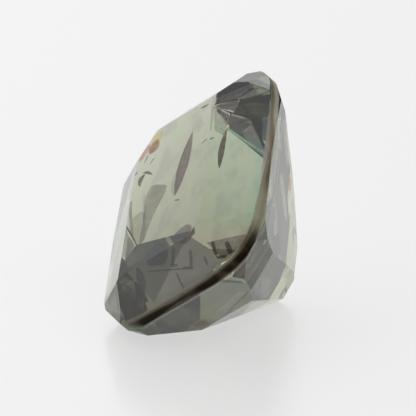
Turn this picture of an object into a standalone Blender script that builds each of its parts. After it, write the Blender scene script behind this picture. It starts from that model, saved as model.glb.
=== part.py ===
"""Cushion-cut alexandrite, cut facet by facet from a block and laid on its resting facet.

The stone is cut in its own frame, in millimetres: +Z is up through the table, X is the short way and
Y the long way of the girdle, and the girdle's top edge lies at Z = 0. Compass words name the places
round the girdle: east and west are the long sides, north and south the ends. Like a hand-cut stone,
it is a little uneven, so each place has its own angles. Once cut, the stone is turned so that the
facet it rests on is level, and stands at real size in metres.
"""

import math
from collections import namedtuple

import bmesh
import bpy
from mathutils import Matrix, Vector

MM_TO_M = 0.001

# Girdle outline: a rounded rectangle, |x / half width| ^ power + |y / half length| ^ power = 1.
HALF_WIDTH = 2.8
HALF_LENGTH = 3.85
OUTLINE_POWER = 4.7
GIRDLE_FLATS = 48
GIRDLE_HEIGHT = 0.33

# Height of the table above the girdle's top edge.
CROWN_HEIGHT = 0.92

# The small facets halfway between two places are this much steeper than the steeper of the two.
CROWN_HALF_EXTRA = 4.5
PAVILION_HALF_EXTRA = 6.5

# How the finished stone lies: the place of the facet that it rests on, and its turn about the
# vertical.
RESTING_PLACE = "south_west"
HEADING = math.radians(-15.6)

# The cutting list. Azimuth is the way a facet faces round the girdle, in degrees from east. Trim is
# how far the outline is cut back there, as a share. Crown, upper and lower are the slopes of the
# crown facet and of the two pavilion facets, in degrees from level, and break_depth is how far below
# the girdle the upper pavilion facet gives way to the lower one.
Place = namedtuple("Place", "azimuth trim crown upper lower break_depth")
CUTTING_LIST = {
    "east": Place(0.0, 0.0, 37.5, 56.5, 45.5, 3.35),
    "north_east": Place(37.0, 0.0, 41.0, 51.5, 47.0, 1.95),
    "north": Place(90.0, 0.0, 30.0, 61.0, 45.0, 0.5),
    "north_west": Place(142.0, 0.095, 28.5, 43.0, 49.5, 2.05),
    "west": Place(180.0, 0.0, 31.0, 69.0, 45.5, 3.35),
    "south_west": Place(-144.0, 0.035, 47.0, 65.0, 46.5, 0.5),
    "south": Place(-90.0, 0.0, 52.0, 63.5, 41.0, 1.6),
    "south_east": Place(-34.0, 0.0, 42.0, 52.0, 43.5, 1.15),
}

# The rough block that the stone is cut from.
BLOCK_SIZE = 14.0
ON_PLANE = 1e-6

STONE_COLOUR = (0.62, 0.66, 0.56, 1.0)
STONE_ROUGHNESS = 0.02
STONE_IOR = 1.75


def clear_scene():
    for obj in list(bpy.data.objects):
        bpy.data.objects.remove(obj, do_unlink=True)


def outline_reach(azimuth):
    """How far the girdle outline reaches from the centre, measured square to a flat that faces azimuth."""
    dual = OUTLINE_POWER / (OUTLINE_POWER - 1)
    across = abs(HALF_WIDTH * math.cos(azimuth)) ** dual
    along = abs(HALF_LENGTH * math.sin(azimuth)) ** dual
    return (across + along) ** (1 / dual)


def facet_normal(azimuth, tilt):
    """The way a facet faces: tilt is 0 for the table, 90 for a girdle flat, and over 90 in the pavilion."""
    out = math.sin(tilt)
    return Vector((out * math.cos(azimuth), out * math.sin(azimuth), math.cos(tilt)))


def cut_facet(stone, normal, point):
    """Grind away all that stands proud of the plane through point, and close the stone with a flat face."""
    parts = stone.verts[:] + stone.edges[:] + stone.faces[:]
    cut = bmesh.ops.bisect_plane(
        stone, geom=parts, dist=ON_PLANE, plane_co=point, plane_no=normal, clear_outer=True
    )
    rim = [part for part in cut["geom_cut"] if isinstance(part, bmesh.types.BMEdge)]
    open_rim = [edge for edge in rim if edge.is_boundary]
    if open_rim:
        bmesh.ops.contextual_create(stone, geom=open_rim)


def cut_at(stone, azimuth, tilt, reach, height):
    """Cut one facet that passes the point at this reach from the axis and this height."""
    point = Vector((reach * math.cos(azimuth), reach * math.sin(azimuth), height))
    cut_facet(stone, facet_normal(azimuth, tilt), point)


def cut_girdle(stone):
    """The outline's flats, then the flats that trim the corners."""
    for flat in range(GIRDLE_FLATS):
        azimuth = (flat + 0.5) * 2 * math.pi / GIRDLE_FLATS
        cut_at(stone, azimuth, math.pi / 2, outline_reach(azimuth), 0.0)
    for place in CUTTING_LIST.values():
        if place.trim:
            azimuth = math.radians(place.azimuth)
            cut_at(stone, azimuth, math.pi / 2, outline_reach(azimuth) * (1 - place.trim), 0.0)


def cut_crown(stone):
    cut_facet(stone, Vector((0.0, 0.0, 1.0)), Vector((0.0, 0.0, CROWN_HEIGHT)))
    for place in CUTTING_LIST.values():
        azimuth = math.radians(place.azimuth)
        reach = outline_reach(azimuth) * (1 - place.trim)
        cut_at(stone, azimuth, math.radians(place.crown), reach, 0.0)


def halfway_places():
    """For each two neighbours round the girdle: the azimuth halfway between them, and the two places."""
    ring = sorted(CUTTING_LIST.values(), key=lambda place: place.azimuth)
    for place, following in zip(ring, ring[1:] + ring[:1]):
        gap = (following.azimuth - place.azimuth) % 360
        yield math.radians(place.azimuth + gap / 2), place, following


def cut_halves(stone):
    """The small facets along the girdle that ease the corners between the main facets."""
    for azimuth, place, following in halfway_places():
        reach = outline_reach(azimuth)
        crown = math.radians(max(place.crown, following.crown) + CROWN_HALF_EXTRA)
        upper = math.radians(max(place.upper, following.upper) + PAVILION_HALF_EXTRA)
        cut_at(stone, azimuth, crown, reach, 0.0)
        cut_at(stone, azimuth, math.pi - upper, reach, -GIRDLE_HEIGHT)


def cut_pavilion(stone):
    for place in CUTTING_LIST.values():
        azimuth = math.radians(place.azimuth)
        reach = outline_reach(azimuth) * (1 - place.trim)
        upper = math.radians(place.upper)
        cut_at(stone, azimuth, math.pi - upper, reach, -GIRDLE_HEIGHT)
        break_reach = reach - place.break_depth / math.tan(upper)
        break_height = -GIRDLE_HEIGHT - place.break_depth
        cut_at(stone, azimuth, math.pi - math.radians(place.lower), break_reach, break_height)


def lay_down(stone):
    """Turn the resting facet to face straight down, set the heading, and stand the stone on Z = 0."""
    place = CUTTING_LIST[RESTING_PLACE]
    resting = facet_normal(math.radians(place.azimuth), math.pi - math.radians(place.lower))
    tip = resting.rotation_difference(Vector((0.0, 0.0, -1.0))).to_matrix().to_4x4()
    stone.transform(Matrix.Rotation(HEADING, 4, "Z") @ tip)
    lows = Vector([min(vert.co[axis] for vert in stone.verts) for axis in range(3)])
    highs = Vector([max(vert.co[axis] for vert in stone.verts) for axis in range(3)])
    middle = (lows + highs) / 2
    stone.transform(Matrix.Translation(Vector((-middle.x, -middle.y, -lows.z))))
    stone.transform(Matrix.Scale(MM_TO_M, 4))


def polished_alexandrite():
    material = bpy.data.materials.new("alexandrite")
    material.use_nodes = True
    shader = material.node_tree.nodes["Principled BSDF"]
    shader.inputs["Base Color"].default_value = STONE_COLOUR
    shader.inputs["Metallic"].default_value = 0.0
    shader.inputs["Roughness"].default_value = STONE_ROUGHNESS
    shader.inputs["IOR"].default_value = STONE_IOR
    shader.inputs["Transmission Weight"].default_value = 1.0
    return material


def make_cut_stone(collection):
    """The whole stone: girdle, crown and pavilion cut from one block."""
    stone = bmesh.new()
    bmesh.ops.create_cube(stone, size=BLOCK_SIZE)
    cut_girdle(stone)
    cut_crown(stone)
    cut_pavilion(stone)
    cut_halves(stone)
    lay_down(stone)
    bmesh.ops.recalc_face_normals(stone, faces=stone.faces[:])
    mesh = bpy.data.meshes.new("cut_stone")
    stone.to_mesh(mesh)
    stone.free()
    mesh.materials.append(polished_alexandrite())
    obj = bpy.data.objects.new("cut_stone", mesh)
    collection.objects.link(obj)
    return obj


def main():
    clear_scene()
    collection = bpy.data.collections.new("cut alexandrite")
    bpy.context.scene.collection.children.link(collection)
    make_cut_stone(collection)


main()
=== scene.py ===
"""Cut alexandrite: its polish, body colour and flaws, shown in a small pale studio.

The stone itself is the CAD node. Here it gets its clear green-grey material and its ground girdle,
with painted shade on the girdle and a painted contact shadow just above the floor, and the flaws
inside it are made: needles, a rusty crystal, a veil, a clouded patch, specks, healed cracks and
feathers. Thin films go in too: their gleams are painted reflections, and the olive one is painted
shade in the far corner.

Lengths in the settings and lists are in millimetres. The flaws are placed in the part's frame: the
stone stands on Z = 0, and the camera stands on its -Y side. The material is laid out in the stone's
own frame, with the table up, X to the east and Y to the north. The south end is nearest the camera.
"""

import math
from collections import namedtuple

import bpy
import numpy as np
from mathutils import Matrix, Quaternion, Vector


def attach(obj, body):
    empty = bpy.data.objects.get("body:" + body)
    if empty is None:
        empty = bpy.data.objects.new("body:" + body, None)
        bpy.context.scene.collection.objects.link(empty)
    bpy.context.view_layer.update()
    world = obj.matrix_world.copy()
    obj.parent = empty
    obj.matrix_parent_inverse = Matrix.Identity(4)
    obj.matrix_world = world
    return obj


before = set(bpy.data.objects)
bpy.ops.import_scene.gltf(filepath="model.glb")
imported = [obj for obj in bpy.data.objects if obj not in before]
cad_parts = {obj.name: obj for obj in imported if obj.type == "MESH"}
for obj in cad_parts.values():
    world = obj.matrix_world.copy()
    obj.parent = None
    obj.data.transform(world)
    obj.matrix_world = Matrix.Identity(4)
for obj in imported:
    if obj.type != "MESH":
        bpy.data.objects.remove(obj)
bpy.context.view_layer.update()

bl_info = {
    "name": "Cut alexandrite",
    "version": (1, 0, 0),
    "blender": (4, 5, 0),
    "location": "3D View > Sidebar > Alexandrite",
    "description": "Polishes a cut alexandrite, puts in its flaws, and sets up a small studio",
    "category": "Object",
}

STONE_NODE = "cut_stone"
ROOT_BODY = "root"
MM = 0.001
WHITE = (1.0, 1.0, 1.0)

# How the stone was turned to lie on its resting facet: the bearing and slope of that facet, and the
# turn about the vertical.
RESTING_BEARING = math.radians(-144.0)
RESTING_SLOPE = math.radians(46.5)
HEADING = math.radians(-15.6)

# Sockets that say where a point lies. The first five are in the stone's own frame: the whole place, its
# three parts, with heights from the girdle's top edge, and the height less the girdle's narrowing. The
# last two are in the part's frame: the height above the floor, and how far back the point lies.
Places = namedtuple("Places", "table_up across along height narrowed above_floor backward")

# A soft step from low to high, between two places in millimetres. The steps of the crown, the girdle
# and its painted dark line of shade are in the stone's own frame. The painted contact shadow just above
# the floor is in the part's.
Step = namedtuple("Step", "start end low high", defaults=(0.0, 1.0))
ABOVE_KEEL = Step(-3.0, -1.5)
CROWN_EAST = Step(0.8, 2.2)
CROWN_CORNER = Step(0.4, 1.2)
CROWN_NORTH = Step(2.4, 2.9)
CROWN_SOUTH = Step(-2.7, -3.0)
OFF_SOUTH_END = Step(-3.1, -2.4)
GIRDLE_FADES = Step(-1.0, -1.8)
GIRDLE_NARROWS = Step(0.2, 1.6)
LINE_WIDENS = Step(-2.8, -3.4, 1.0, 1.9)
LINE_AT_SOUTH_END = Step(-2.5, -3.35)
LINE_ALONG_SIDES = Step(-0.9, -1.6, 0.4, 0.15)
LINE_OFF_NORTH = Step(1.0, 0.2)
LINE_OFF_WEST = Step(-2.0, -1.3, 0.4, 1.0)
OLIVE_TO_EAST = Step(-0.8, 1.2, 0.15, 1.0)
# Where the painted contact shadow lies.
CONTACT_SHADOW_OFF_FACET = Step(0.01, 0.05)
CONTACT_SHADOW_TOP = Step(0.5, 0.2)
CONTACT_SHADOW_IN_FRONT = Step(-1.0, -1.8)

# Widths near the girdle, in millimetres: half the blur of its edges and of its pale foot, the tinted
# fringes below and above it, and the depth over which the growth streaks come in below it.
EDGE_BLUR = 0.03
FOOT_BLUR = 0.05
LOWER_FRINGE = 0.2
UPPER_FRINGE = 0.22
STREAKS_COME_IN = 0.5

# The painted dark line of shade round the girdle: the least depth of its middle below the top edge
# and how far it wanders down from there, in millimetres, the wandering's turns per millimetre, and
# the step from nothing to all of it on the way in to its middle.
LINE_DEPTH = 0.19
LINE_WANDER = 0.1
LINE_WANDER_SCALE = 1.2
LINE_EDGE = Step(0.13, 0.04)

# Patterns of soft noise: the scale in turns per millimetre, the levels of noise that give the least
# and the most of the pattern, how much finer it is along each axis, and how many finer noises are in it.
NOISE_DETAIL = 3.0
Pattern = namedtuple("Pattern", "scale least most stretch detail", defaults=((1.0, 1.0, 1.0), NOISE_DETAIL))
GROWTH_STREAKS = Pattern(1.0, 0.45, 0.65, (1.5, 0.6, 1.8))
OLIVE_SPOTS = Pattern(1.6, 0.35, 0.6)
POLISH_LINES = Pattern(1.5, 0.35, 0.75, (1.0, 14.0, 6.0), 2.0)
MOTTLE_LEVELS = (0.3, 0.7)

# The roughness of the facets' smoothest and roughest lines, as shares of the setting, and the share of
# its tint that a flaw keeps in its weakest spots.
POLISH_SPREAD = (0.6, 1.6)
WEAKEST_MOTTLE = 0.75

# The floor: how far it reaches each way and how far it lies below the stone, in millimetres, its
# clouding in turns per millimetre, the share of its colour in its darkest clouds, and its shine.
FLOOR_REACH = 600.0
FLOOR_GAP = 0.02
FLOOR_CLOUD_SCALE = 0.02
FLOOR_CLOUD_DETAIL = 2.0
FLOOR_SHADE = 0.985
FLOOR_SHINE = 0.2

# The camera's sensor in millimetres, and the nearest and furthest that it sees, in metres.
SENSOR_WIDTH = 36.0
CLIP_RANGE = (0.001, 10.0)

# The soft lamps: bearing from straight behind the stone towards the right, height above the horizon,
# brightness, and how fast the light falls off from the middle of the lamp.
Lamp = namedtuple("Lamp", "bearing height brightness falloff")
LAMPS = (
    Lamp(math.radians(-106.8), math.radians(20.1), 1.39, 12.8),
    Lamp(math.radians(-27.0), math.radians(35.3), 1.52, 10.8),
    Lamp(math.radians(-68.0), math.radians(57.6), 1.16, 16.2),
    Lamp(math.radians(-3.7), math.radians(35.9), 1.65, 19.6),
    Lamp(math.radians(97.9), math.radians(58.7), 1.61, 16.4),
    Lamp(math.radians(0.0), math.radians(0.0), 0.3, 40.0),
)

# A flaw runs from start to end, drawn sideways towards bend. Shape is its outline's name in OUTLINES,
# and its flat side faces out through one of the FACING directions. Each flaw lies where the camera
# has to see it through the facets above it, at a likely depth.
Flaw = namedtuple(
    "Flaw", "start bend end half_width half_thickness shape facing", defaults=("spindle", "table")
)
FACING = {
    "table": (-0.41, -0.70, 0.59),
    "long_side": (-0.05, -0.76, 0.64),
    "near_end": (-0.23, -0.95, 0.23),
}
PLUM_NEEDLE = Flaw((0.03, 1.12, 4.39), (-0.2, 0.23, 3.84), (-0.45, -0.91, 3.17), 0.21, 0.08)
RED_NEEDLE = Flaw(
    (0.71, 0.54, 4.66), (0.52, -0.27, 4.27), (0.49, -0.95, 3.95), 0.09, 0.05, facing="long_side"
)
NEEDLE_GHOST = Flaw((-0.25, 0.31, 3.63), (-0.43, -0.18, 3.27), (-0.41, -0.76, 3.07), 0.14, 0.05)
RUSTY_CRYSTAL = Flaw((-0.99, 2.02, 3.97), (-1.11, 1.84, 3.78), (-1.23, 1.68, 3.60), 0.25, 0.05)
YELLOW_HALO = Flaw((-0.88, 2.24, 4.15), (-1.00, 2.07, 3.96), (-1.18, 1.98, 3.76), 0.24, 0.05)
PINK_STAIN = Flaw((-1.28, 2.02, 3.90), (-1.44, 1.88, 3.70), (-1.60, 1.62, 3.45), 0.15, 0.03)
VEIL = Flaw((-0.69, 0.47, 2.94), (-0.85, 0.24, 2.7), (-1.2, -1.32, 1.78), 0.42, 0.05, "fan")
VEIL_EDGE = Flaw((-1.16, 0.69, 2.68), (-1.15, -0.11, 2.4), (-1.14, -0.72, 2.18), 0.07, 0.03)
DARK_SHEET = Flaw((-1.78, 0.36, 2.76), (-1.83, 0.37, 2.71), (-1.69, -1.73, 2.08), 0.06, 0.03, "slab")
PALE_SHEET = Flaw((-1.52, -0.3, 2.59), (-1.48, -1.07, 2.35), (-1.5, -1.66, 2.11), 0.26, 0.03, "slab")
CLOUD = Flaw((-0.63, -2.74, 2.88), (-0.35, -3.03, 3.13), (-0.16, -3.22, 3.12), 0.27, 0.05)
HOOKED_SPECK = (
    Flaw((-1.39, 0.83, 2.88), (-1.46, 1.24, 2.96), (-1.24, 1.15, 3.15), 0.11, 0.05),
    Flaw((-1.39, 1.24, 3.16), (-1.27, 1.21, 3.27), (-1.09, 0.77, 3.28), 0.05, 0.03),
)
DARK_SPECKS = (Flaw((0.14, 1.64, 4.94), (0.26, 1.55, 5.03), (0.38, 1.47, 5.12), 0.045, 0.02),)
FAINT_SPECKS = (
    Flaw((0.16, 0.1, 4.39), (0.25, 0.13, 4.49), (0.36, 0.08, 4.58), 0.04, 0.02),
    Flaw((-0.54, -1.15, 3.24), (-0.46, -1.27, 3.27), (-0.38, -1.36, 3.32), 0.04, 0.02),
    Flaw((-1.42, 1.45, 3.45), (-1.36, 1.56, 3.56), (-1.29, 1.67, 3.66), 0.04, 0.02),
    Flaw((-1.26, 1.17, 3.51), (-1.22, 1.3, 3.6), (-1.12, 1.27, 3.68), 0.035, 0.02),
    Flaw((-1.67, 1.3, 3.15), (-1.63, 1.35, 3.21), (-1.59, 1.37, 3.26), 0.04, 0.02),
)
CRACKS = (
    Flaw((-0.67, -3.08, 2.76), (-0.72, -3.07, 2.61), (-0.70, -3.12, 2.23), 0.050, 0.02, "slab", "near_end"),
    Flaw((-0.78, -3.07, 2.27), (-0.68, -3.13, 2.26), (-0.57, -3.19, 2.31), 0.046, 0.02, "slab", "near_end"),
    Flaw((-0.26, -3.32, 2.80), (-0.21, -3.37, 2.56), (-0.23, -3.39, 2.24), 0.050, 0.02, "slab", "near_end"),
    Flaw((-0.44, -3.27, 2.26), (-0.27, -3.36, 2.29), (-0.15, -3.43, 2.31), 0.048, 0.02, "slab", "near_end"),
    Flaw((0.11, -3.54, 2.71), (0.17, -3.59, 2.55), (0.22, -3.63, 2.44), 0.053, 0.02, facing="near_end"),
    Flaw((0.29, -3.47, 3.02), (0.32, -3.66, 2.88), (0.42, -3.69, 2.72), 0.050, 0.02, "slab", "near_end"),
    Flaw((0.39, -3.69, 2.68), (0.51, -3.71, 2.69), (0.68, -3.73, 2.73), 0.050, 0.02, "slab", "near_end"),
    Flaw((0.65, -3.52, 3.04), (0.74, -3.72, 2.87), (0.79, -3.73, 2.80), 0.074, 0.03, "slab", "near_end"),
    Flaw((-1.42, -2.74, 1.96), (-0.86, -3.04, 2.12), (-0.20, -3.40, 2.30), 0.024, 0.01, "slab", "near_end"),
    Flaw((-0.61, -3.19, 2.09), (-0.53, -3.25, 1.89), (-0.40, -3.35, 1.70), 0.033, 0.01, "slab", "near_end"),
    Flaw((-1.65, -2.42, 2.02), (-1.52, -2.78, 1.85), (-1.53, -2.76, 1.12), 0.149, 0.03, facing="near_end"),
    Flaw((-2.06, -2.41, 1.53), (-1.79, -2.58, 1.39), (-1.63, -2.71, 1.02), 0.105, 0.03, facing="near_end"),
)
TEAL_SHEETS = (
    Flaw((-1.36, -2.53, 2.18), (-1.13, -2.72, 2.50), (-0.82, -2.89, 2.34), 0.25, 0.03, "slab", "near_end"),
    Flaw((-1.39, -2.49, 2.28), (-1.08, -2.88, 2.51), (-0.84, -3.04, 2.51), 0.323, 0.03, "slab"),
)
FEATHERS = (
    Flaw((-1.82, -2.59, 1.12), (-1.79, -2.63, 0.90), (-1.77, -2.67, 0.69), 0.048, 0.02, facing="near_end"),
    Flaw((-1.39, -2.82, 1.26), (-1.47, -2.80, 1.02), (-1.55, -2.78, 0.79), 0.046, 0.02, facing="near_end"),
    Flaw((1.18, 1.02, 5.52), (1.11, 0.88, 5.45), (1.10, 0.73, 5.38), 0.065, 0.03, facing="long_side"),
    Flaw((0.39, 0.94, 5.40), (0.39, 0.83, 5.34), (0.53, 0.70, 5.30), 0.057, 0.02, facing="long_side"),
)
STREAKS = (
    Flaw((0.99, 1.00, 5.49), (1.20, 0.65, 5.35), (1.34, 0.30, 5.20), 0.053, 0.02, facing="long_side"),
    Flaw((1.34, 0.26, 5.19), (1.50, -0.12, 5.02), (1.66, -0.65, 4.80), 0.056, 0.02, facing="long_side"),
    Flaw((1.34, 0.35, 5.23), (1.46, 0.37, 5.25), (1.64, 0.31, 5.24), 0.062, 0.02, facing="long_side"),
    Flaw((0.91, 0.10, 5.07), (1.10, 0.33, 5.19), (1.29, 0.27, 5.18), 0.043, 0.02, facing="long_side"),
)

# A film is a flat, very thin sheet inside the stone that paints light: where its own refractive
# index against the stone's differs from 1, its gleam is a painted reflection, and the olive film's dark
# tint is painted shade. Each film has its four corners and that refractive index.
Film = namedtuple("Film", "corners refraction")
WEDGE_FILM = Film(((0.94, 1.25, 5.39), (1.64, 1.69, 5.67), (1.89, 1.40, 5.56), (1.21, 1.23, 5.41)), 1.7)
GREY_FILM = Film(((0.37, 1.12, 5.27), (1.05, 1.24, 5.39), (0.86, 0.76, 5.15), (0.53, 0.92, 5.19)), 1.7)
# Painted shade with a painted sheen: a dark sheet that darkens the far corner.
OLIVE_SHADE_FILM = Film(((0.80, 0.74, 5.13), (1.31, 0.45, 5.06), (1.76, -0.98, 4.44), (0.71, 0.16, 4.86)), 1.65)
BRIGHT_FILM = Film(((1.04, -0.04, 4.91), (1.33, 0.18, 5.04), (1.73, -1.03, 4.53), (1.36, -0.66, 4.66)), 1.7)
SLATE_FILM = Film(((0.34, 1.13, 5.27), (0.77, 0.74, 5.13), (0.60, -0.04, 4.75), (0.34, 0.18, 4.83)), 1.3)
BAND_FILM = Film(((0.40, 1.38, 5.39), (1.64, 1.88, 5.75), (0.99, 1.30, 5.42), (0.37, 1.16, 5.28)), 1.4)
SIDE_FILM = Film(((1.64, 0.48, 5.11), (1.89, 0.52, 5.15), (1.87, -0.82, 4.53), (1.63, -0.39, 4.70)), 1.6)
EDGE_FILM = Film(((0.67, 0.11, 5.03), (1.78, -1.10, 4.59), (1.73, -1.19, 4.54), (0.66, 0.02, 4.99)), 1.8)
CORNER_GLEAM = Film(((0.42, 1.00, 5.27), (0.77, 0.70, 5.17), (0.69, 0.23, 4.95), (0.48, 0.70, 5.14)), 1.6)
LEFT_GLEAM = Film(
    ((-1.96, -0.56, 2.39), (-1.65, -1.77, 2.26), (-1.96, -1.96, 1.87), (-2.10, -1.57, 1.88)), 2.0
)
NEAR_GLEAM = Film(((0.32, -2.38, 0.86), (0.90, -2.88, 1.55), (1.24, -2.76, 1.54), (0.69, -2.11, 0.71)), 1.6)
LOW_GLEAM = Film(((1.26, -2.31, 1.24), (1.36, -2.60, 1.82), (1.73, -1.34, 1.39), (1.66, -0.83, 0.64)), 1.7)
EAST_GLEAM = Film(((2.01, 1.27, 5.13), (2.13, 1.78, 4.80), (2.31, 1.93, 3.41), (2.16, 1.15, 3.63)), 0.6)
# Painted highlights: films that gleam as bright streaks on the east side.
EAST_GLEAM_STREAKS = (
    Film(((1.89, 0.36, 5.19), (1.97, 0.74, 5.07), (2.04, 0.63, 4.25), (1.98, 0.30, 4.30)), 0.6),
    Film(((1.98, -0.07, 3.77), (2.07, 0.42, 3.70), (2.22, 0.37, 2.29), (2.16, 0.01, 2.30)), 0.6),
    Film(((1.78, -1.58, 3.42), (1.86, -1.06, 3.39), (1.92, -1.28, 2.56), (1.83, -1.78, 2.61)), 0.6),
)
DUSK_FILM = Film(((0.11, -3.56, 3.02), (1.18, -3.54, 3.27), (1.00, -3.81, 2.94), (0.56, -3.92, 2.73)), 1.0)
FILM_THICKNESS = 0.02

# Half width along a flaw, as a share of the widest: places from 0 to 1, and the shares there.
OUTLINES = {
    "spindle": ((0.0, 0.1, 0.25, 0.45, 0.6, 0.8, 0.92, 1.0), (0.0, 0.32, 0.68, 0.96, 1.0, 0.68, 0.35, 0.0)),
    "slab": ((0.0, 0.04, 0.12, 0.5, 0.88, 0.96, 1.0), (0.0, 0.7, 1.0, 1.0, 1.0, 0.7, 0.0)),
    "fan": ((0.0, 0.05, 0.3, 0.5, 0.75, 0.95, 1.0), (0.0, 0.85, 1.0, 0.75, 0.4, 0.25, 0.0)),
}


def stone_turn():
    """The turn from the stone's own frame, table up, to the way that it lies."""
    out = math.sin(RESTING_SLOPE)
    east = out * math.cos(RESTING_BEARING)
    north = out * math.sin(RESTING_BEARING)
    facing = Vector((east, north, -math.cos(RESTING_SLOPE)))
    tip = facing.rotation_difference(Vector((0.0, 0.0, -1.0))).to_matrix()
    return Matrix.Rotation(HEADING, 3, "Z") @ tip


def girdle_middle(node, crown_height):
    """Middle of the girdle's top edge, with the stone turned table up, in metres."""
    count = len(node.data.vertices)
    places = np.empty(count * 3)
    node.data.vertices.foreach_get("co", places)
    turned = places.reshape(-1, 3) @ np.array(stone_turn())
    low = turned.min(axis=0)
    high = turned.max(axis=0)
    return ((low[0] + high[0]) / 2, (low[1] + high[1]) / 2, high[2] - crown_height)


def colour_property(name, description, default):
    """A colour setting."""
    return bpy.props.FloatVectorProperty(
        name=name, description=description, subtype="COLOR", default=default, min=0.0, max=1.0
    )


def share_property(name, description, default):
    """A setting from 0 to 1."""
    return bpy.props.FloatProperty(
        name=name, description=description, subtype="FACTOR", default=default, min=0.0, max=1.0
    )


def amount_property(name, description, default):
    """A length, a density or a brightness, 0 or more."""
    return bpy.props.FloatProperty(name=name, description=description, default=default, min=0.0)


def angle_property(name, description, default):
    """An angle setting, with its default in degrees."""
    return bpy.props.FloatProperty(
        name=name, description=description, subtype="ANGLE", default=math.radians(default)
    )


class StoneSettings(bpy.types.PropertyGroup):
    """The stone's polish and colour."""

    refraction: bpy.props.FloatProperty(
        name="Refractive index",
        description="How strongly the stone bends light",
        default=1.75,
        min=1.0,
        max=3.0,
    )
    body_colour: colour_property(
        "Body colour", "Colour that the stone's depth leaves in white light", (0.634, 0.672, 0.538)
    )
    body_density: amount_property("Body density", "How fast the colour deepens, per metre", 400.0)
    polish: share_property("Facet roughness", "Roughness of the polished facets", 0.02)
    table_tint: colour_property("Table tint", "Tint seen through the table", (0.9, 0.94, 0.81))
    side_tint: colour_property("Side tint", "Greener tint of the crown's east side", (0.8, 1.0, 0.87))
    corner_tint: colour_property(
        "Corner tint", "Warmer tint of the crown's east side in its north half", (1.0, 0.9, 0.82)
    )
    far_tint: colour_property("Far tint", "Tint of the crown's north end", (1.0, 0.95, 1.0))
    near_tint: colour_property("Near tint", "Tint of the crown's south end", (1.0, 0.9, 0.96))
    pavilion_tint: colour_property(
        "Pavilion tint", "Tint of the pavilion north of its south end", (1.0, 0.98, 0.88)
    )
    near_pavilion: colour_property(
        "Near pavilion", "Tint of the pavilion's south end", (1.0, 0.93, 0.98)
    )
    streak_tint: colour_property("Streak tint", "Growth streaks in the pavilion", (0.76, 0.7, 0.72))
    keel_tint: colour_property("Keel tint", "Warmer tint of the pavilion's depth", (1.0, 0.92, 0.88))
    # Painted shade: the next three browns of the ground band stand in for shade, darkest at the south end.
    girdle_shade_tint: colour_property("Girdle tint", "Colour of the ground girdle", (0.42, 0.34, 0.26))
    faded_girdle_shade: colour_property(
        "Faded girdle", "Colour of the ground girdle nearer the south end", (0.6, 0.54, 0.44)
    )
    near_girdle_shade: colour_property(
        "Near girdle", "Colour of the ground girdle at the south end", (0.16, 0.13, 0.09)
    )
    pale_girdle: colour_property(
        "Pale girdle", "The pale lower part of the band at the north end", (0.96, 0.88, 0.72)
    )
    # Painted shade: a dark line of shade round the girdle, spotted with olive.
    girdle_shade_line: colour_property("Girdle line", "The dark line round the girdle", (0.012, 0.008, 0.005))
    girdle_shade_olive: colour_property("Girdle olive", "Spots along the dark line", (0.06, 0.046, 0.027))
    teal_fringe: colour_property(
        "Teal fringe", "Tint just above the girdle, north of its south end", (0.6, 0.95, 0.86)
    )
    brown_fringe: colour_property(
        "Brown fringe", "Tint below the girdle, and above it at the south end", (0.6, 0.52, 0.4)
    )
    # Painted shade and reflection: a dark green contact shadow just above the floor, where the stone meets
    # its reflection.
    contact_shadow_tint: colour_property("Contact tint", "Dark green rim above the floor", (0.2, 0.26, 0.14))
    girdle_frost: share_property(
        "Girdle frost", "Share of the ground girdle that light cannot pass", 0.6
    )
    girdle_roughness: share_property("Girdle roughness", "Roughness of the ground girdle", 0.35)
    crown_height: amount_property("Crown height", "From the girdle's top edge to the table, in mm", 0.92)
    girdle_height: amount_property("Girdle height", "Height of the ground band, in mm", 0.33)
    girdle_narrowing: amount_property(
        "Girdle narrowing", "How much of the band is pale at the north end, in mm", 0.17
    )


class FlawSettings(bpy.types.PropertyGroup):
    """The colours that the flaws and the films leave in white light; the films' gleams are painted
    reflections, and the olive film is painted shade.
    """

    needle: colour_property("Needle", "The dark plum needle", (0.23, 0.13, 0.15))
    dark_needle: colour_property("Dark needle", "The darker, redder needle", (0.09, 0.03, 0.02))
    ghost: colour_property("Ghost", "The pale shape beside the needle", (0.72, 0.72, 0.72))
    rust: colour_property("Rust", "The rusty crystal", (0.5, 0.17, 0.05))
    yellow: colour_property("Yellow", "The halo above the rusty crystal", (0.95, 0.84, 0.45))
    pink: colour_property("Pink", "The stain at the stone's edge", (0.85, 0.5, 0.48))
    veil: colour_property("Veil", "The fan-shaped veil", (0.46, 0.43, 0.41))
    sheet: colour_property("Sheet", "The paler thin sheet beside the veil", (0.7, 0.66, 0.62))
    cloud: colour_property("Cloud", "The clouded patch", (0.3, 0.24, 0.29))
    speck: colour_property("Specks", "Black and brown specks", (0.12, 0.09, 0.09))
    crack: colour_property("Cracks", "Healed cracks and faint specks", (0.3, 0.3, 0.3))
    teal: colour_property("Teal sheets", "Dark teal sheets at the south end", (0.42, 0.52, 0.54))
    feather: colour_property("Feathers", "Small reddish feathers", (0.7, 0.28, 0.2))
    streak: colour_property("Streaks", "Brown streaks under the far corner", (0.3, 0.2, 0.15))
    # The clear films' gleams are painted reflections.
    gleam_film: colour_property("Clear film", "Films without a colour of their own", (0.9, 0.86, 0.86))
    # Painted shade with a painted sheen: the olive film is a dark sheet that darkens the far corner.
    olive_shade_film: colour_property("Olive film", "The large film in the far corner", (0.4, 0.42, 0.3))
    slate_film: colour_property("Slate film", "The blue-grey film beside it", (0.55, 0.62, 0.6))
    edge_film: colour_property("Edge film", "The narrow teal film beside it", (0.6, 1.0, 0.85))
    dusk_film: colour_property("Dusk film", "The grey film beside the cracks", (0.5, 0.45, 0.5))


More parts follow.
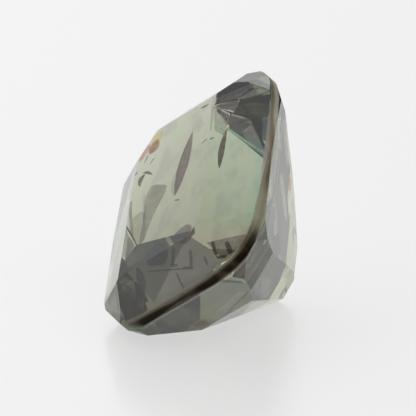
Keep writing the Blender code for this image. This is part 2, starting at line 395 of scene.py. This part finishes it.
class StageSettings(bpy.types.PropertyGroup):
    """Floor, light and camera."""

    floor_colour: colour_property("Floor colour", "Colour of the floor", (0.3, 0.3, 0.3))
    floor_glow: amount_property("Floor glow", "Light that shines up through the pale floor", 0.58)
    floor_roughness: share_property("Floor roughness", "Roughness of the floor", 0.25)
    room_light: amount_property("Room light", "Brightness of the room away from the lamps", 0.03)
    backdrop: amount_property("Backdrop", "Brightness of the backdrop behind the floor", 0.84)
    camera_elevation: angle_property("Camera elevation", "Angle above the horizon", 18.33)
    camera_roll: angle_property("Camera roll", "Turn about the line of sight", 0.26)
    camera_distance: amount_property(
        "Camera distance", "From the point that the camera looks at, in mm", 130.67
    )
    camera_lens: amount_property("Focal length", "Focal length on a 36 mm sensor, in mm", 389.7)
    aim: bpy.props.FloatVectorProperty(
        name="Aim", description="Point that the camera looks at, in mm", default=(0.162, 8.515, 0.0)
    )


def closed_skin(name, rings, first, last):
    """A closed skin over rings of points, shape (rings, sides, 3), with a point at each end.

    Each ring joins the next with one quad a side, and fans of triangles join the end points.
    """
    count, sides, _ = rings.shape
    points = np.concatenate([rings.reshape(-1, 3), [first], [last]])
    ring, side = np.meshgrid(np.arange(count - 1), np.arange(sides), indexing="ij")
    here = ring * sides + side
    beside = ring * sides + (side + 1) % sides
    quads = np.stack([here, beside, beside + sides, here + sides], -1).reshape(-1, 4)
    turn = np.arange(sides)
    following = (turn + 1) % sides
    start_fan = np.stack([np.full(sides, count * sides), following, turn], -1)
    base = (count - 1) * sides
    end_fan = np.stack([np.full(sides, count * sides + 1), base + turn, base + following], -1)
    mesh = bpy.data.meshes.new(name)
    mesh.from_pydata(points.tolist(), [], quads.tolist() + start_fan.tolist() + end_fan.tolist())
    mesh.validate()
    mesh.update()
    return mesh


def set_rim(mesh, rim):
    """Store the rim values of the rings' points, and 1 for the two end points."""
    values = mesh.attributes.new("rim", "FLOAT", "POINT")
    values.data.foreach_set("value", np.append(rim.ravel(), (1.0, 1.0)).astype(np.float32))


def carried_oval(name, flaw, steps=40, sides=24):
    """A flaw as an oval carried along its path, closed to a point at both ends.

    The path at t is (1 - t)^2 * start + 2 t (1 - t) * bend + t^2 * end. The oval there is half width
    * cos(a) * across + half thickness * sin(a) * through, where across is square to the path and to
    the way that the flaw faces, through is square to both, and a runs once round. Half width and half
    thickness are both cut down by the share that the flaw's outline gives at t. The rim value is
    1 - (1 - |cos(a)|^3) (1 - |2 t - 1|^6): 0 in the middle of the flat sides and 1 at their edge.
    """
    t = np.linspace(0.0, 1.0, steps)[:, None]
    start, bend, end = (np.array(place) * MM for place in (flaw.start, flaw.bend, flaw.end))
    path = (1 - t) ** 2 * start + 2 * t * (1 - t) * bend + t**2 * end
    along = np.gradient(path, axis=0)
    along /= np.linalg.norm(along, axis=1, keepdims=True)
    across = np.cross(along, np.array(FACING[flaw.facing]))
    across /= np.linalg.norm(across, axis=1, keepdims=True)
    through = np.cross(along, across)
    places, shares = OUTLINES[flaw.shape]
    share = np.interp(t[1:-1], places, shares)[:, :, None]
    angle = np.linspace(0.0, 2 * math.pi, sides, endpoint=False)[None, :, None]
    wide = flaw.half_width * MM * share * np.cos(angle) * across[1:-1, None, :]
    thick = flaw.half_thickness * MM * share * np.sin(angle) * through[1:-1, None, :]
    mesh = closed_skin(name, path[1:-1, None, :] + wide + thick, path[0], path[-1])
    side_rim = np.abs(np.cos(angle[0, :, 0]))[None, :]
    end_rim = np.abs(2 * t[1:-1] - 1)
    set_rim(mesh, 1 - (1 - side_rim**3) * (1 - end_rim**6))
    return mesh


def flat_film(name, film, steps=24, sides=48):
    """A flat film between four corners, closed round its edge.

    The point at (u, v) is (1 - u) (1 - v) * first + u (1 - v) * second + u v * third + (1 - u) v *
    fourth. A ring runs at one u round both faces: v = 0.5 - 0.5 cos(a), raised off the middle by half
    the thickness * (1 - |2 v - 1|^8), up on the way out and down on the way back. The rim value is
    1 - (1 - |2 u - 1|^8) (1 - |2 v - 1|^8): 0 in the middle and 1 at the edge.
    """
    first, second, third, fourth = (np.array(corner) * MM for corner in film.corners)
    u = (0.5 - 0.5 * np.cos(np.linspace(0.0, math.pi, steps)[1:-1]))[:, None, None]
    angle = np.linspace(0.0, 2 * math.pi, sides, endpoint=False)[None, :, None]
    v = 0.5 - 0.5 * np.cos(angle)
    flat = (1 - u) * (1 - v) * first + u * (1 - v) * second + u * v * third + (1 - u) * v * fourth
    normal = np.cross(fourth - first, second - first)
    normal /= np.linalg.norm(normal)
    off_edge = 1 - np.abs(2 * v - 1) ** 8
    rise = np.sign(np.sin(angle)) * off_edge * FILM_THICKNESS * MM / 2
    mesh = closed_skin(name, flat + rise * normal, (first + fourth) / 2, (second + third) / 2)
    set_rim(mesh, 1 - (1 - np.abs(2 * u - 1) ** 8) * off_edge)
    return mesh


def new_material(name):
    """A material with its node tree and its Principled shader."""
    material = bpy.data.materials.new(name)
    material.use_nodes = True
    return material, material.node_tree, material.node_tree.nodes["Principled BSDF"]


def math_node(tree, operation, first, second=None):
    """A Math node whose inputs are sockets or numbers."""
    node = tree.nodes.new("ShaderNodeMath")
    node.operation = operation
    for slot, value in ((0, first), (1, second)):
        if value is None:
            continue
        if isinstance(value, bpy.types.NodeSocket):
            tree.links.new(value, node.inputs[slot])
        else:
            node.inputs[slot].default_value = value
    return node.outputs["Value"]


def product(tree, *factors):
    """Sockets or numbers multiplied together."""
    result = factors[0]
    for factor in factors[1:]:
        result = math_node(tree, "MULTIPLY", result, factor)
    return result


def map_range(tree, value, start, end, low, high):
    """Value from start to end, eased, becomes low to high."""
    node = tree.nodes.new("ShaderNodeMapRange")
    node.interpolation_type = "SMOOTHSTEP"
    tree.links.new(value, node.inputs["Value"])
    for key, number in (("From Min", start), ("From Max", end), ("To Min", low), ("To Max", high)):
        node.inputs[key].default_value = number
    return node.outputs["Result"]


def soft_step(tree, place, step):
    """The low value of a Step where the place is at its start, the high one where it is at its end."""
    return map_range(tree, place, step.start * MM, step.end * MM, step.low, step.high)


def mix_colours(tree, factor, first, second):
    """First where factor is 0, second where it is 1."""
    node = tree.nodes.new("ShaderNodeMix")
    node.data_type = "RGBA"
    tree.links.new(factor, node.inputs["Factor"])
    for slot, colour in (("A", first), ("B", second)):
        if isinstance(colour, bpy.types.NodeSocket):
            tree.links.new(colour, node.inputs[slot])
        else:
            node.inputs[slot].default_value = (*colour, 1.0)
    return node.outputs["Result"]


def noise(tree, vector, scale, detail):
    """Noise on a vector, with scale in turns per millimetre."""
    node = tree.nodes.new("ShaderNodeTexNoise")
    tree.links.new(vector, node.inputs["Vector"])
    node.inputs["Scale"].default_value = scale / MM
    node.inputs["Detail"].default_value = detail
    return node.outputs["Fac"]


def draw_pattern(tree, vector, pattern, low=0.0, high=1.0):
    """A Pattern on a vector: low where its noise is at its least level, high where it is at its most."""
    stretched = tree.nodes.new("ShaderNodeMapping")
    stretched.inputs["Scale"].default_value = pattern.stretch
    tree.links.new(vector, stretched.inputs["Vector"])
    level = noise(tree, stretched.outputs["Vector"], pattern.scale, pattern.detail)
    return map_range(tree, level, pattern.least, pattern.most, low, high)


def object_place(tree):
    """Where a point lies, in the part's frame."""
    return tree.nodes.new("ShaderNodeTexCoord").outputs["Object"]


def split(tree, vector):
    """The three parts of a vector."""
    node = tree.nodes.new("ShaderNodeSeparateXYZ")
    tree.links.new(vector, node.inputs["Vector"])
    return (node.outputs[axis] for axis in "XYZ")


def stone_places(tree, settings, node):
    """The Places sockets: where a point lies in the stone's own frame, and as the stone lies."""
    as_it_lies = object_place(tree)
    mapping = tree.nodes.new("ShaderNodeMapping")
    mapping.inputs["Rotation"].default_value = stone_turn().transposed().to_euler()
    middle = girdle_middle(node, settings.crown_height * MM)
    mapping.inputs["Location"].default_value = [-place for place in middle]
    tree.links.new(as_it_lies, mapping.inputs["Vector"])
    table_up = mapping.outputs["Vector"]
    across, along, height = split(tree, table_up)
    narrowing = product(tree, soft_step(tree, along, GIRDLE_NARROWS), settings.girdle_narrowing * MM)
    narrowed = math_node(tree, "SUBTRACT", height, narrowing)
    _, backward, above_floor = split(tree, as_it_lies)
    return Places(table_up, across, along, height, narrowed, above_floor, backward)


def ground_band(tree, places, settings):
    """How ground a point is: 1 on the girdle's band and 0 off it."""
    band = settings.girdle_height
    below_top = soft_step(tree, places.height, Step(EDGE_BLUR, -EDGE_BLUR))
    above_foot = soft_step(tree, places.height, Step(-band - EDGE_BLUR, -band + EDGE_BLUR))
    return product(tree, below_top, above_foot)


def painted_girdle_shade_line(tree, places):
    """How much of the girdle's painted dark line of shade a point has; the line is uneven.

    The line is widest and darkest round the south end, faint along the sides, and gone in the north
    half.
    """
    wander = product(tree, noise(tree, places.table_up, LINE_WANDER_SCALE, NOISE_DETAIL), LINE_WANDER * MM)
    lowered = math_node(tree, "ADD", places.height, wander)
    off_middle = math_node(tree, "ABSOLUTE", math_node(tree, "ADD", lowered, LINE_DEPTH * MM))
    widening = soft_step(tree, places.along, LINE_WIDENS)
    near_line = soft_step(tree, math_node(tree, "DIVIDE", off_middle, widening), LINE_EDGE)
    at_end = soft_step(tree, places.along, LINE_AT_SOUTH_END)
    at_side = soft_step(tree, places.along, LINE_ALONG_SIDES)
    strength = math_node(tree, "MAXIMUM", at_end, at_side)
    off_north = soft_step(tree, places.along, LINE_OFF_NORTH)
    off_west = soft_step(tree, places.across, LINE_OFF_WEST)
    return product(tree, near_line, strength, off_north, off_west)


def shade_line_colour(tree, places, settings):
    """The colour of the painted dark line of shade: spotted with olive, more of it to the east."""
    spots = draw_pattern(tree, places.table_up, OLIVE_SPOTS)
    olive = product(tree, spots, soft_step(tree, places.across, OLIVE_TO_EAST))
    return mix_colours(tree, olive, settings.girdle_shade_line, settings.girdle_shade_olive)


def crown_colour(tree, places, settings):
    """The crown's tint: greener to the east, warmer in the north of that, and another at each end."""
    to_corner = soft_step(tree, places.along, CROWN_CORNER)
    east = mix_colours(tree, to_corner, settings.side_tint, settings.corner_tint)
    colour = mix_colours(tree, soft_step(tree, places.across, CROWN_EAST), settings.table_tint, east)
    colour = mix_colours(tree, soft_step(tree, places.along, CROWN_NORTH), colour, settings.far_tint)
    return mix_colours(tree, soft_step(tree, places.along, CROWN_SOUTH), colour, settings.near_tint)


def zone_colours(tree, places, settings):
    """Tint by height in the stone's own frame, with soft steps from one zone to the next.

    From below: the keel, the pavilion, a brown fringe, the girdle's foot, which is pale at the north
    end, the rest of the girdle in painted brown shade, darkest at the south end, another fringe, and the
    crown. Growth streaks lie over the pavilion.
    """
    band = settings.girdle_height
    off_end = soft_step(tree, places.along, OFF_SOUTH_END)
    pavilion = mix_colours(tree, off_end, settings.near_pavilion, settings.pavilion_tint)
    # The ground band's browns are painted shade, darkest at the south end.
    faded = soft_step(tree, places.along, GIRDLE_FADES)
    side_girdle_shade = mix_colours(tree, faded, settings.girdle_shade_tint, settings.faded_girdle_shade)
    girdle = mix_colours(tree, off_end, settings.near_girdle_shade, side_girdle_shade)
    crown_fringe = mix_colours(tree, off_end, settings.brown_fringe, settings.teal_fringe)
    zones = (
        (places.height, ABOVE_KEEL, pavilion),
        (places.height, Step(-band - LOWER_FRINGE, -band), settings.brown_fringe),
        (places.height, Step(-band - EDGE_BLUR, -band + EDGE_BLUR), settings.pale_girdle),
        (places.narrowed, Step(-band - FOOT_BLUR, -band + FOOT_BLUR), girdle),
        (places.height, Step(-EDGE_BLUR, EDGE_BLUR), crown_fringe),
        (places.height, Step(0.0, UPPER_FRINGE), crown_colour(tree, places, settings)),
    )
    colour = settings.keel_tint
    for way, step, following in zones:
        colour = mix_colours(tree, soft_step(tree, way, step), colour, following)
    streaks = draw_pattern(tree, places.table_up, GROWTH_STREAKS)
    in_pavilion = soft_step(tree, places.height, Step(-band, -band - STREAKS_COME_IN))
    return mix_colours(tree, product(tree, streaks, in_pavilion), colour, settings.streak_tint)


def painted_contact_shadow(tree, places):
    """How much of the painted contact shadow a point has: a dark rim just above the floor, on the camera's
    side.
    """
    off_facet = soft_step(tree, places.above_floor, CONTACT_SHADOW_OFF_FACET)
    low = soft_step(tree, places.above_floor, CONTACT_SHADOW_TOP)
    return product(tree, off_facet, low, soft_step(tree, places.backward, CONTACT_SHADOW_IN_FRONT))


def cut_stone_material(settings, node):
    """Clear alexandrite: plain absorption in depth, fine polish lines, a ground girdle whose brown and dark
    line are painted shade, and a painted contact shadow just above the floor.
    """
    material, tree, shader = new_material("alexandrite")
    places = stone_places(tree, settings, node)
    ground = ground_band(tree, places, settings)
    line = painted_girdle_shade_line(tree, places)
    zones = zone_colours(tree, places, settings)
    # The painted dark line of shade goes over the zones, then the painted contact shadow.
    shade_lined = mix_colours(tree, line, zones, shade_line_colour(tree, places, settings))
    contact_shadowed = mix_colours(tree, painted_contact_shadow(tree, places), shade_lined, settings.contact_shadow_tint)
    tree.links.new(contact_shadowed, shader.inputs["Base Color"])
    # The painted line of shade is also metallic, a dark mirror.
    tree.links.new(line, shader.inputs["Metallic"])
    frost = product(tree, ground, settings.girdle_frost)
    tree.links.new(math_node(tree, "SUBTRACT", 1.0, frost), shader.inputs["Transmission Weight"])
    smoothest, roughest = (settings.polish * share for share in POLISH_SPREAD)
    facets = draw_pattern(tree, places.table_up, POLISH_LINES, smoothest, roughest)
    added = product(tree, math_node(tree, "SUBTRACT", settings.girdle_roughness, facets), ground)
    tree.links.new(math_node(tree, "ADD", facets, added), shader.inputs["Roughness"])
    shader.inputs["IOR"].default_value = settings.refraction
    absorption = tree.nodes.new("ShaderNodeVolumeAbsorption")
    absorption.inputs["Color"].default_value = (*settings.body_colour, 1.0)
    absorption.inputs["Density"].default_value = settings.body_density
    tree.links.new(absorption.outputs["Volume"], tree.nodes["Material Output"].inputs["Volume"])
    return material


def inner_material(name, colour, crisp, mottle=6.0, refraction=1.0):
    """A clear body that tints what is behind it, mottled, fading out towards its rim.

    The tint is whole up to a rim value of crisp and is gone at 1. Mottle is in turns per millimetre,
    and refraction is the body's index against the stone's.
    """
    material, tree, shader = new_material(name)
    rim = tree.nodes.new("ShaderNodeAttribute")
    rim.attribute_name = "rim"
    inside = map_range(tree, rim.outputs["Fac"], crisp, 1.0, 1.0, 0.0)
    mottled = draw_pattern(tree, object_place(tree), Pattern(mottle, *MOTTLE_LEVELS), WEAKEST_MOTTLE)
    amount = product(tree, inside, mottled)
    tree.links.new(mix_colours(tree, amount, WHITE, tuple(colour)), shader.inputs["Base Color"])
    shader.inputs["Roughness"].default_value = 0.0
    shader.inputs["IOR"].default_value = refraction
    shader.inputs["Transmission Weight"].default_value = 1.0
    return material


def floor_material(settings):
    """Pale, smooth, faintly clouded floor."""
    material, tree, shader = new_material("pale_floor")
    cloud = noise(tree, object_place(tree), FLOOR_CLOUD_SCALE, FLOOR_CLOUD_DETAIL)
    pale = tuple(settings.floor_colour)
    shade = tuple(FLOOR_SHADE * part for part in pale)
    tree.links.new(mix_colours(tree, cloud, pale, shade), shader.inputs["Base Color"])
    shader.inputs["Roughness"].default_value = settings.floor_roughness
    shader.inputs["Specular IOR Level"].default_value = FLOOR_SHINE
    shader.inputs["Emission Color"].default_value = (*WHITE, 1.0)
    shader.inputs["Emission Strength"].default_value = settings.floor_glow
    return material


def add_inner_piece(name, mesh, material):
    """Put one flaw, or one film that paints light, in the scene as a piece of the stone."""
    mesh.polygons.foreach_set("use_smooth", np.ones(len(mesh.polygons), bool))
    mesh.materials.append(material)
    obj = bpy.data.objects.new(name, mesh)
    bpy.context.scene.collection.objects.link(obj)
    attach(obj, ROOT_BODY)


def add_oval(name, flaw, colour, **finish):
    """Put in one oval flaw with a material of its own."""
    add_inner_piece(name, carried_oval(name, flaw), inner_material(name, colour, **finish))


def add_ovals(name, flaws, colour, **finish):
    """Put in a group of like flaws, numbered from 1, that share a material."""
    material = inner_material(name, colour, **finish)
    for number, flaw in enumerate(flaws, 1):
        piece = f"{name}_{number}"
        add_inner_piece(piece, carried_oval(piece, flaw), material)


class ALEX_OT_polish_stone(bpy.types.Operator):
    """Give the cut stone its clear, coloured material, its ground girdle with painted shade, and a painted
    contact shadow above the floor
    """

    bl_idname = "alexandrite.polish_stone"
    bl_label = "Polish the stone"

    def execute(self, context):
        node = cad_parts[STONE_NODE]
        material = cut_stone_material(context.scene.alexandrite_stone, node)
        node.data.materials.clear()
        node.data.materials.append(material)
        return {"FINISHED"}


class ALEX_OT_grow_needles(bpy.types.Operator):
    """Put in the two dark needles and the pale shape beside one of them"""

    bl_idname = "alexandrite.grow_needles"
    bl_label = "Needles"

    def execute(self, context):
        colours = context.scene.alexandrite_flaws
        add_oval("plum_needle", PLUM_NEEDLE, colours.needle, crisp=0.7)
        add_oval("red_needle", RED_NEEDLE, colours.dark_needle, crisp=0.6)
        add_oval("needle_ghost", NEEDLE_GHOST, colours.ghost, crisp=0.3)
        return {"FINISHED"}


class ALEX_OT_stain_with_rust(bpy.types.Operator):
    """Put in the rusty crystal, its yellow halo and the pink stain"""

    bl_idname = "alexandrite.stain_with_rust"
    bl_label = "Rusty crystal"

    def execute(self, context):
        colours = context.scene.alexandrite_flaws
        add_oval("rusty_crystal", RUSTY_CRYSTAL, colours.rust, crisp=0.0)
        add_oval("yellow_halo", YELLOW_HALO, colours.yellow, crisp=0.0)
        add_oval("pink_stain", PINK_STAIN, colours.pink, crisp=0.0)
        return {"FINISHED"}


class ALEX_OT_draw_veil(bpy.types.Operator):
    """Put in the fan-shaped veil, its edge and the thin sheets beside it"""

    bl_idname = "alexandrite.draw_veil"
    bl_label = "Veil"

    def execute(self, context):
        colours = context.scene.alexandrite_flaws
        add_oval("veil", VEIL, colours.veil, crisp=0.6, mottle=3.0)
        add_oval("veil_edge", VEIL_EDGE, colours.ghost, crisp=0.3)
        add_oval("dark_sheet", DARK_SHEET, colours.veil, crisp=0.4)
        add_oval("pale_sheet", PALE_SHEET, colours.sheet, crisp=0.6, mottle=3.0)
        return {"FINISHED"}


class ALEX_OT_cloud_corner(bpy.types.Operator):
    """Put in the clouded patch and the teal sheets at the south end"""

    bl_idname = "alexandrite.cloud_corner"
    bl_label = "Clouded patch"

    def execute(self, context):
        colours = context.scene.alexandrite_flaws
        add_oval("cloud", CLOUD, colours.cloud, crisp=0.4, mottle=1.5)
        add_ovals("teal_sheet", TEAL_SHEETS, colours.teal, crisp=0.4, mottle=3.0)
        return {"FINISHED"}


class ALEX_OT_scatter_specks(bpy.types.Operator):
    """Put in the hooked speck and the short dark marks"""

    bl_idname = "alexandrite.scatter_specks"
    bl_label = "Specks"

    def execute(self, context):
        colours = context.scene.alexandrite_flaws
        add_ovals("hooked_speck", HOOKED_SPECK, colours.speck, crisp=0.5, mottle=12.0)
        add_ovals("speck", DARK_SPECKS, colours.speck, crisp=0.5, mottle=12.0)
        add_ovals("faint_speck", FAINT_SPECKS, colours.crack, crisp=0.3, mottle=12.0)
        return {"FINISHED"}


class ALEX_OT_heal_cracks(bpy.types.Operator):
    """Put in the healed cracks and reddish feathers under the crown"""

    bl_idname = "alexandrite.heal_cracks"
    bl_label = "Healed cracks"

    def execute(self, context):
        colours = context.scene.alexandrite_flaws
        add_ovals("healed_crack", CRACKS, colours.crack, crisp=0.3)
        add_ovals("feather", FEATHERS, colours.feather, crisp=0.2)
        return {"FINISHED"}


class ALEX_OT_lay_films(bpy.types.Operator):
    """Put in the thin films, whose gleams are painted reflections and whose olive one is painted shade, and
    the brown streaks under the far corner
    """

    bl_idname = "alexandrite.lay_films"
    bl_label = "Films"

    def execute(self, context):
        colours = context.scene.alexandrite_flaws
        # Each film paints light: its gleam is a painted reflection, and the olive film is painted shade.
        films = {
            "wedge_film": (WEDGE_FILM, colours.gleam_film),
            "grey_film": (GREY_FILM, colours.gleam_film),
            "olive_shade_film": (OLIVE_SHADE_FILM, colours.olive_shade_film),
            "bright_film": (BRIGHT_FILM, colours.gleam_film),
            "slate_film": (SLATE_FILM, colours.slate_film),
            "edge_film": (EDGE_FILM, colours.edge_film),
            "band_film": (BAND_FILM, colours.gleam_film),
            "side_film": (SIDE_FILM, colours.gleam_film),
            "corner_gleam": (CORNER_GLEAM, colours.gleam_film),
            "left_gleam": (LEFT_GLEAM, colours.gleam_film),
            "near_gleam": (NEAR_GLEAM, colours.gleam_film),
            "low_gleam": (LOW_GLEAM, colours.gleam_film),
            "east_gleam": (EAST_GLEAM, colours.gleam_film),
            "dusk_film": (DUSK_FILM, colours.dusk_film),
        }
        for number, film in enumerate(EAST_GLEAM_STREAKS, 1):
            films[f"east_streak_{number}"] = (film, colours.gleam_film)
        for name, (film, colour) in films.items():
            material = inner_material(name, colour, crisp=0.7, refraction=film.refraction)
            add_inner_piece(name, flat_film(name, film), material)
        add_ovals("streak", STREAKS, colours.streak, crisp=0.3)
        return {"FINISHED"}


class ALEX_OT_set_stage(bpy.types.Operator):
    """Lay the pale floor, light it softly and place the camera"""

    bl_idname = "alexandrite.set_stage"
    bl_label = "Set the stage"

    def execute(self, context):
        settings = context.scene.alexandrite_stage
        self.lay_floor(context.scene, settings)
        self.light(context.scene, settings)
        self.place_camera(context.scene, settings)
        context.scene.view_settings.view_transform = "Standard"
        return {"FINISHED"}

    def lay_floor(self, scene, settings):
        """A square floor, a hair below the stone."""
        reach = FLOOR_REACH * MM
        low = -FLOOR_GAP * MM
        corners = [(x * reach, y * reach, low) for x, y in ((-1, -1), (1, -1), (1, 1), (-1, 1))]
        mesh = bpy.data.meshes.new("floor")
        mesh.from_pydata(corners, [], [(0, 1, 2, 3)])
        mesh.materials.append(floor_material(settings))
        floor = bpy.data.objects.new("floor", mesh)
        scene.collection.objects.link(floor)

    def light(self, scene, settings):
        """A dim room with soft lamps, and an even backdrop where the camera sees past the floor.

        A lamp adds brightness * e^(falloff * (cos(a) - 1)), where a is the angle off its middle.
        """
        world = bpy.data.worlds.new("soft_lamps")
        world.use_nodes = True
        tree = world.node_tree
        background = tree.nodes["Background"]
        direction = tree.nodes.new("ShaderNodeTexCoord").outputs["Generated"]
        total = settings.room_light
        for lamp in LAMPS:
            towards = tree.nodes.new("ShaderNodeVectorMath")
            towards.operation = "DOT_PRODUCT"
            towards.inputs[1].default_value = (
                math.sin(lamp.bearing) * math.cos(lamp.height),
                math.cos(lamp.bearing) * math.cos(lamp.height),
                math.sin(lamp.height),
            )
            tree.links.new(direction, towards.inputs[0])
            away = math_node(tree, "SUBTRACT", towards.outputs["Value"], 1.0)
            glow = math_node(tree, "EXPONENT", product(tree, away, lamp.falloff))
            total = math_node(tree, "ADD", total, product(tree, glow, lamp.brightness))
        seen = tree.nodes.new("ShaderNodeLightPath").outputs["Is Camera Ray"]
        shown = tree.nodes.new("ShaderNodeMix")
        shown.data_type = "FLOAT"
        tree.links.new(seen, shown.inputs["Factor"])
        tree.links.new(total, shown.inputs["A"])
        shown.inputs["B"].default_value = settings.backdrop
        tree.links.new(shown.outputs["Result"], background.inputs["Strength"])
        background.inputs["Color"].default_value = (*WHITE, 1.0)
        scene.world = world

    def place_camera(self, scene, settings):
        """A long lens, looking down on the stone from the front."""
        rise = settings.camera_elevation
        back = Vector((0.0, -math.cos(rise), math.sin(rise)))
        data = bpy.data.cameras.new("camera")
        data.sensor_width = SENSOR_WIDTH
        data.lens = settings.camera_lens
        data.clip_start, data.clip_end = CLIP_RANGE
        camera = bpy.data.objects.new("camera", data)
        camera.location = Vector(settings.aim) * MM + back * settings.camera_distance * MM
        camera.rotation_mode = "QUATERNION"
        level = (-back).to_track_quat("-Z", "Y")
        camera.rotation_quaternion = level @ Quaternion((0.0, 0.0, 1.0), settings.camera_roll)
        scene.collection.objects.link(camera)
        scene.camera = camera


class ALEX_PT_tools(bpy.types.Panel):
    """The stone's tools, in the order that they run"""

    bl_label = "Cut alexandrite"
    bl_idname = "ALEX_PT_tools"
    bl_space_type = "VIEW_3D"
    bl_region_type = "UI"
    bl_category = "Alexandrite"

    def draw(self, context):
        column = self.layout.column()
        for operator in OPERATORS:
            column.operator(operator.bl_idname)


SETTINGS = {
    "alexandrite_stone": StoneSettings,
    "alexandrite_flaws": FlawSettings,
    "alexandrite_stage": StageSettings,
}
OPERATORS = (
    ALEX_OT_polish_stone,
    ALEX_OT_grow_needles,
    ALEX_OT_stain_with_rust,
    ALEX_OT_draw_veil,
    ALEX_OT_cloud_corner,
    ALEX_OT_scatter_specks,
    ALEX_OT_heal_cracks,
    ALEX_OT_lay_films,
    ALEX_OT_set_stage,
)
CLASSES = (*SETTINGS.values(), *OPERATORS, ALEX_PT_tools)


def register():
    """Make Blender know the settings, the operators and the panel."""
    for cls in CLASSES:
        bpy.utils.register_class(cls)
    for name, cls in SETTINGS.items():
        setattr(bpy.types.Scene, name, bpy.props.PointerProperty(type=cls))


def unregister():
    """Take them all out again."""
    for name in SETTINGS:
        delattr(bpy.types.Scene, name)
    for cls in reversed(CLASSES):
        bpy.utils.unregister_class(cls)


def main():
    """Dress the stone and set the stage."""
    register()
    bpy.ops.alexandrite.polish_stone()
    bpy.ops.alexandrite.grow_needles()
    bpy.ops.alexandrite.stain_with_rust()
    bpy.ops.alexandrite.draw_veil()
    bpy.ops.alexandrite.cloud_corner()
    bpy.ops.alexandrite.scatter_specks()
    bpy.ops.alexandrite.heal_cracks()
    bpy.ops.alexandrite.lay_films()
    bpy.ops.alexandrite.set_stage()


if __name__ == "__main__":
    main()
